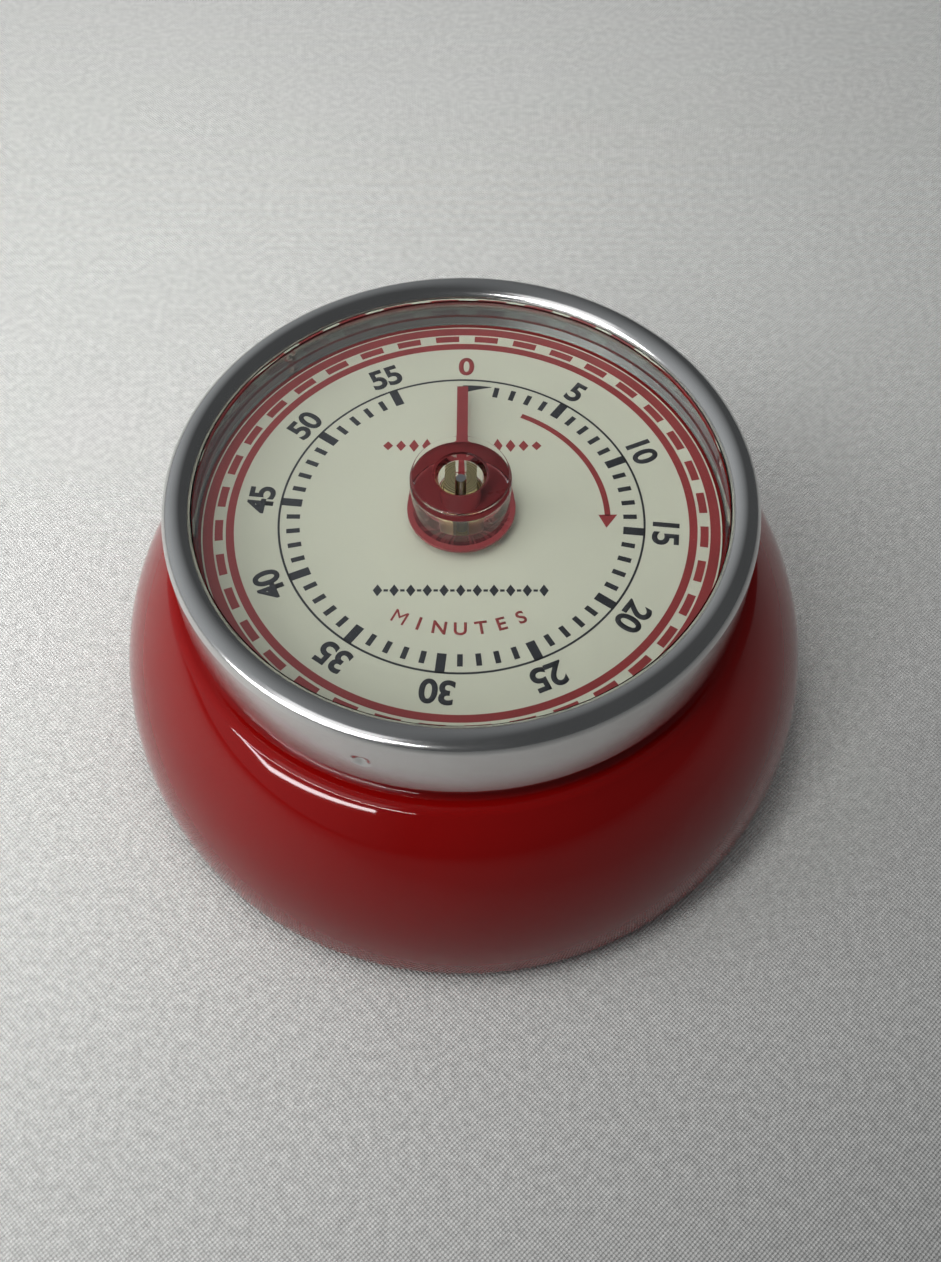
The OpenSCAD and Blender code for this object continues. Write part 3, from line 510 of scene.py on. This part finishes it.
def build_ring():
    """The skirt and its rolled bead, in one sheet with a rounded lower edge."""
    mid_r, wall_z = ring_r - RING_T / 2, ring_lo.z + RING_T / 2
    profile = (arc((mid_r, wall_z), RING_T / 2, 180, 360, 12)
               + line((ring_r, wall_z), (ring_r, bead_z), 60)[1:-1]
               + arc((ring_r - bead_r, bead_z), bead_r, 0, 180, 40)
               + [(ring_r - BEAD_W, bead_z - LIP_DROP)]
               + [(ring_r - BEAD_W + RING_T, bead_z - LIP_DROP)]
               + arc((ring_r - bead_r, bead_z), bead_r - RING_T, 180, 0, 24)
               + line((ring_r - RING_T, bead_z), (ring_r - RING_T, wall_z), 60)[1:-1])
    ring = lathe("chrome_ring", profile, 720, shape=dimpled, angle=60)
    finish_with(ring, CHROME)
    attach(ring, "setting_ring")
    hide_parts("bezel_ring")


def build_lens():
    """A crowned clear disc with a side wall and a hollow hub, all one moulding."""
    top_r = ring_r - BEAD_W - LENS_GAP
    wall_in_r = lens_hi.x - LENS_WALL_T
    hub_r = pointer_hi.x - POINTER_RIM
    hub_top, seat_z = lens_hi.z, pointer_hi.z
    flat_z = hub_top - SHAFT_SINK - FLAT_H
    crown_r = (top_r ** 2 + CROWN_RISE ** 2) / (2 * CROWN_RISE)
    c = (0, hub_top - HUB_RISE - crown_r)

    def crown(r0, r1, depth, n):
        a0, a1 = (math.degrees(math.acos(r / (crown_r - depth))) for r in (r0, r1))
        return arc(c, crown_r - depth, a0, a1, n)

    step_z = bead_z - LIP_DROP - STEP_GAP
    edge_r, root_r, rim_r = 0.15 * MM, 0.12 * MM, 0.12 * MM
    top = crown(hub_r + root_r, top_r, 0, 60)
    under = crown(wall_in_r, hub_r + root_r, LENS_T, 40)
    root_z, under_z = top[0][1], under[-1][1]
    sink_r = HUB_BORE_R + COUNTERSINK
    profile = ([(HUB_BORE_R, hub_top - COUNTERSINK_H), (sink_r - rim_r, hub_top - rim_r)]
               + arc((sink_r + rim_r, hub_top - rim_r), rim_r, 150, 90, 4)
               + arc((hub_r - edge_r, hub_top - edge_r), edge_r, 90, 0, 8)
               + arc((hub_r + root_r, root_z + root_r), root_r, 180, 270, 6)
               + top[1:] + [(top_r, step_z), (lens_hi.x, step_z)]
               + [(lens_hi.x, lens_lo.z), (wall_in_r, lens_lo.z)]
               + under
               + arc((hub_r + root_r, under_z - root_r), root_r, 90, 180, 6)[1:]
               + [(hub_r, seat_z + rim_r), (hub_r - rim_r, seat_z),
                  (HUB_SEAT_R, seat_z), (HUB_SEAT_R, flat_z), (HUB_BORE_R, flat_z)])
    lens = lathe("clear_lens_cup", profile, 256, angle=30)
    finish_with(lens, CLEAR)
    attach(lens, "setting_ring")
    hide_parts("lens")


# ---- dial print ----

INK_T = 0.02 * MM
MINUTES = range(1, 56)
MARK_IN_R = 15.05 * MM      # inner end of the minute marks
MARK_R = 16.3 * MM          # outer end of a small mark
FIVE_MARK_R = 17.05 * MM    # and of every fifth one
CIRCLE_STEP = 12            # degrees in each piece of a printed circle


def ink(name, bm, material):
    """A printed piece made of a bmesh; it rides with the case."""
    piece = finish_with(solid(name, bm), material)
    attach(piece, "case")


def print_on_dial(name, outlines, material):
    """Thin raised ink from outlines of (x, y) points in metres."""
    bm = bmesh.new()
    for outline in outlines:
        add_prism(bm, outline, dial_z, dial_z + INK_T)
    ink(name, bm, material)


def circle(r0, r1):
    """Outlines that make up a whole printed circle."""
    return [sector(r0, r1, a, a + CIRCLE_STEP) for a in range(0, 360, CIRCLE_STEP)]


def minute_angle(minute):
    """Dial angle of a minute mark. The zero stands one mark before its regular place."""
    return 6 * (minute + 1)


def radial_bar(a, r0, r1, width):
    """Outline of a straight bar along a dial radius."""
    across = Vector(clock(width / 2, a + 90))
    ends = [Vector(clock(r, a)) for r in (r0, r1)]
    corners = (ends[0] - across, ends[0] + across, ends[1] + across, ends[1] - across)
    return [tuple(corner) for corner in corners]


def build_marks():
    """The minute track: its marks, its thin circle and the wedge that leads away from zero."""
    small = [radial_bar(minute_angle(m), MARK_IN_R, MARK_R, 0.5 * MM) for m in MINUTES if m % 5]
    large = [radial_bar(minute_angle(m), MARK_IN_R, FIVE_MARK_R, 0.85 * MM)
             for m in MINUTES if m % 5 == 0]
    track = circle(16.9 * MM, 17.1 * MM)
    steps, span = 8, 10
    tip_r, wide = 16.25 * MM, 0.95 * MM
    wedge = ([clock(MARK_R, span * i / steps) for i in range(steps + 1)]
             + [clock(tip_r - wide * (1 - i / steps), span * i / steps)
                for i in range(steps, -1, -1)])
    print_on_dial("minute_marks", small + large + track + [wedge], INK_DARK)


def build_borders():
    """A row of dashes between two circles."""
    first, pitch, length = 2.9, 10, 6
    starts = [first + pitch * k for k in range(360 // pitch)]
    dashes = [sector(22.15 * MM, 22.9 * MM, a, a + length) for a in starts]
    lines = circle(21.13 * MM, 21.88 * MM) + circle(23.07 * MM, 24.0 * MM)
    print_on_dial("dial_borders", dashes + lines, INK_RED)


def build_arrow():
    """The curved arrow that shows which way to wind."""
    start, neck, tip = 25, 89, 95.4
    shaft = sector(13.33 * MM, 13.87 * MM, start, neck + 0.5)
    head = [clock(14.5 * MM, neck), clock(13.5 * MM, tip), clock(12.75 * MM, neck)]
    print_on_dial("direction_arrow", [shaft, head], INK_RED)


def flat_text(body, height, bold, spacing=1.0):
    """Outline mesh of a short text, centred on the origin, with its capitals height tall."""
    curve = bpy.data.curves.new("text", "FONT")
    curve.body = body
    curve.size = 1
    curve.align_x = "CENTER"
    curve.offset = bold
    curve.space_character = spacing
    curve.resolution_u = 8
    obj = bpy.data.objects.new("text", curve)
    bpy.context.scene.collection.objects.link(obj)
    bpy.context.view_layer.update()
    mesh = bpy.data.meshes.new_from_object(obj.evaluated_get(bpy.context.evaluated_depsgraph_get()))
    bpy.data.objects.remove(obj)
    xs, ys = ([v.co[k] for v in mesh.vertices] for k in (0, 1))
    middle = Vector(((min(xs) + max(xs)) / 2, (min(ys) + max(ys)) / 2, 0))
    mesh.transform(Matrix.Scale(height / (max(ys) - min(ys)), 4) @ Matrix.Translation(-middle))
    return mesh


def raise_text(name, meshes, material):
    """Joins flat text meshes and gives them the ink's thickness."""
    bm = bmesh.new()
    for mesh in meshes:
        bm.from_mesh(mesh)
        bpy.data.meshes.remove(mesh)
    made = bmesh.ops.extrude_face_region(bm, geom=list(bm.faces))
    top = [g for g in made["geom"] if isinstance(g, bmesh.types.BMVert)]
    bmesh.ops.translate(bm, verts=top, vec=(0, 0, INK_T))
    bmesh.ops.translate(bm, verts=bm.verts, vec=(0, 0, dial_z))
    ink(name, bm, material)


def set_on_dial(mesh, r, a, turn=0.0):
    """Turns a flat text mesh by turn radians and moves it to a place on the dial."""
    mesh.transform(Matrix.Rotation(-math.radians(a), 4, "Z")
                   @ Matrix.Translation((0, r, 0)) @ Matrix.Rotation(turn, 4, "Z"))


def build_numbers():
    """A dark number at every fifth mark and a red zero."""
    bold = 0.028
    dark = []
    for minute in MINUTES[4::5]:
        mesh = flat_text(str(minute), 2.5 * MM, bold, 0.95)
        set_on_dial(mesh, 18.95 * MM, minute_angle(minute))
        dark.append(mesh)
    raise_text("minute_numbers", dark, INK_DARK)
    zero = flat_text("0", 2.35 * MM, bold)
    set_on_dial(zero, 18.8 * MM, 1)
    raise_text("zero_number", [zero], INK_RED)


def build_words():
    """The word under the hub, on an arc. Its M would fill up if it were made bolder."""
    word, step, bold = "MINUTES", 8.6, 0.02
    meshes = []
    for k, letter in enumerate(word):
        mesh = flat_text(letter, 1.35 * MM, 0 if letter == "M" else bold)
        set_on_dial(mesh, 12.4 * MM, 180 - (k - (len(word) - 1) / 2) * step, math.pi)
        meshes.append(mesh)
    raise_text("minutes_word", meshes, INK_RED)


def diamond(x, y, w, h):
    return [(x - w / 2, y), (x, y - h / 2), (x + w / 2, y), (x, y + h / 2)]


def build_ornaments():
    """Plain rows of lozenges and dashes above and below the hub."""
    upper_y, first_x, upper_pitch = 8.55 * MM, 3.4 * MM, 1.25 * MM
    tallest, shrink = 1.75 * MM, 0.22 * MM
    red = [diamond(side * (first_x + upper_pitch * k), upper_y, 0.95 * MM, tallest - shrink * k)
           for side in (-1, 1) for k in range(4)]
    print_on_dial("upper_ornament", red, INK_RED)

    lower_y, lower_pitch, half_count = -8.3 * MM, 1.5 * MM, 5
    dash_in, dash_out, dash_low, dash_high = 0.55 * MM, 0.95 * MM, -8.42 * MM, -8.18 * MM
    dark = []
    for k in range(-half_count, half_count + 1):
        x = lower_pitch * k
        dark.append(diamond(x, lower_y, 0.85 * MM, 1.3 * MM))
        if k < half_count:
            dark.append([(x + dash_in, dash_low), (x + dash_out, dash_low),
                         (x + dash_out, dash_high), (x + dash_in, dash_high)])
    print_on_dial("lower_ornament", dark, INK_DARK)


# ---- carried-over CAD nodes ----

FINISHES = {
    "dial_cream": DIAL, "pointer_red": POINTER, "brass": BRASS, "steel": STEEL,
    "spring_steel": BLUED, "bell_steel": NICKEL, "magnet_cup_zinc": ZINC, "cover_black": BLACK,
    "ferrite": FERRITE, "enamel_red": ENAMEL, "chrome": CHROME, "clear_lens": CLEAR,
}


def dress_frame():
    """Gives each CAD node the finish of its record slot."""
    for part in frame["record"]["subparts"]:
        node = frame["nodes"][part["node"]]
        material = BRASS_TURNED if part["node"] == "main_shaft" else FINISHES[part["material_slot"]]
        node.data.materials.clear()
        node.data.materials.append(material)


# ---- stage, camera and lights ----

FLOOR_HALF = 1.5
DAYLIGHT = (1.0, 1.0, 0.985)
WHITE = (1.0, 1.0, 1.0)
STRIP_AIM = Vector((0, 0, 22 * MM))
STRIP_FAR = 0.8

# name, place, aim, side, power: these light the surfaces and stay out of their reflections
SOFT_LAMPS = [
    ("window", (-0.07, -0.05, 0.21), (-0.42, 0.34, 0), 0.18, 0.8),
    ("side_window", (-0.35, -0.05, 0.24), (0, 0, 0), 0.2, 0.4),
    ("ceiling", (0.05, 0.07, 0.3), (0.05, 0.07, 0), 0.3, 0.24),
]

# name, two ends as (azimuth, elevation), thickness, power: these only show in reflections
STRIP_LAMPS = [
    ("low_strip", (25, 14.5), (58, 6.8), 0.022, 0.75),
    ("low_strip_end", (58, 6.8), (72, 8.5), 0.018, 0.25),
    ("high_strip", (14, 25), (45, 26), 0.014, 1.4),
    ("high_strip_end", (45, 26), (73, 11), 0.014, 1.4),
    ("panel", (24, 42), (64, 38), 0.36, 0.5),
]


def build_stage():
    """The table under the timer."""
    bm = bmesh.new()
    bmesh.ops.create_grid(bm, x_segments=2, y_segments=2, size=FLOOR_HALF)
    mesh = bpy.data.meshes.new("floor")
    bm.to_mesh(mesh)
    bm.free()
    floor = link("floor", mesh)
    floor.location.z = cad_lo.z
    floor.data.materials.append(cloth())


def build_camera():
    """A hand-held close view from the front, 57 degrees above the table."""
    elevation, azimuth, roll = (math.radians(a) for a in (57.24, 0.88, -0.67))
    distance, right_shift, up_shift = 132.8 * MM, 0.84 * MM, -10.7 * MM
    aim = Vector((0, 0, 27.9 * MM))
    back = Vector((math.sin(azimuth) * math.cos(elevation),
                   -math.cos(azimuth) * math.cos(elevation), math.sin(elevation)))
    right = (-back).cross(Vector((0, 0, 1))).normalized()
    up = right.cross(-back)
    right, up = (math.cos(roll) * right + math.sin(roll) * up,
                 -math.sin(roll) * right + math.cos(roll) * up)
    data = bpy.data.cameras.new("camera")
    data.lens = 40.56
    data.sensor_width = 36
    data.clip_start = 10 * MM
    camera = bpy.data.objects.new("camera", data)
    bpy.context.scene.collection.objects.link(camera)
    camera.matrix_world = Matrix((right, up, back)).transposed().to_4x4()
    camera.matrix_world.translation = aim + back * distance + right * right_shift + up * up_shift
    bpy.context.scene.camera = camera


def area_light(name, place, size, power, colour, reflected):
    """A lamp that either lights surfaces or only shows in their reflections."""
    data = bpy.data.lights.new(name, "AREA")
    data.shape = "RECTANGLE"
    data.size, data.size_y = size
    data.energy = power
    data.color = colour
    lamp = bpy.data.objects.new(name, data)
    bpy.context.scene.collection.objects.link(lamp)
    lamp.location = place
    lamp.rotation_mode = "QUATERNION"
    lamp.visible_glossy = reflected
    lamp.visible_diffuse = not reflected
    lamp.visible_transmission = False
    lamp.visible_camera = False
    return lamp


def soft_light(name, place, aim, side, power):
    """A square lamp turned towards aim."""
    lamp = area_light(name, place, (side, side), power, DAYLIGHT, reflected=False)
    lamp.rotation_quaternion = (Vector(aim) - Vector(place)).to_track_quat("-Z", "Y")


def toward(azimuth, elevation):
    """Direction at azimuth degrees left of the front."""
    a, e = math.radians(azimuth), math.radians(elevation)
    return Vector((-math.sin(a) * math.cos(e), -math.cos(a) * math.cos(e), math.sin(e)))


def strip_light(name, start, end, thick, power):
    """A lamp that shows as a line between two (azimuth, elevation) directions."""
    one, two = (STRIP_AIM + toward(*way) * STRIP_FAR for way in (start, end))
    middle = (one + two) / 2
    lamp = area_light(name, middle, ((two - one).length, thick), power, WHITE, reflected=True)
    back = (middle - STRIP_AIM).normalized()
    along = (two - one).normalized()
    across = back.cross(along).normalized()
    lamp.rotation_quaternion = Matrix((along, across, back)).transposed().to_quaternion()


def sky():
    """A dim room, brighter towards the window on the left."""
    world = bpy.data.worlds.new("room")
    world.use_nodes = True
    tree = world.node_tree
    background = tree.nodes["Background"]
    place = tree.nodes.new("ShaderNodeTexCoord")
    window_way = Vector((-0.9, 0.25, 0.1)).normalized()
    dim, bright = 0.08, 0.5
    along = tree.nodes.new("ShaderNodeVectorMath")
    along.operation = "DOT_PRODUCT"
    along.inputs[1].default_value = window_way
    spread = tree.nodes.new("ShaderNodeMapRange")
    spread.inputs["From Min"].default_value = 0.0
    spread.inputs["To Min"].default_value = dim
    spread.inputs["To Max"].default_value = bright
    tree.links.new(place.outputs["Generated"], along.inputs[0])
    tree.links.new(along.outputs["Value"], spread.inputs["Value"])
    tree.links.new(spread.outputs["Result"], background.inputs["Strength"])
    background.inputs["Color"].default_value = (0.93, 0.97, 1.0, 1)
    bpy.context.scene.world = world


def build_lights():
    for lamp in SOFT_LAMPS:
        soft_light(*lamp)
    for lamp in STRIP_LAMPS:
        strip_light(*lamp)
    sky()


def build_view():
    """Plain colours, a clean picture, and enough bounces for the lens."""
    bounces = 16
    scene = bpy.context.scene
    scene.view_settings.view_transform = "Standard"
    scene.view_settings.look = "None"
    scene.cycles.use_denoising = True
    scene.cycles.transmission_bounces = bounces
    scene.cycles.transparent_max_bounces = bounces


build_camera()
build_case()
build_ring()
build_lens()
build_marks()
build_borders()
build_arrow()
build_numbers()
build_words()
build_ornaments()
dress_frame()
build_stage()
build_lights()
build_view()
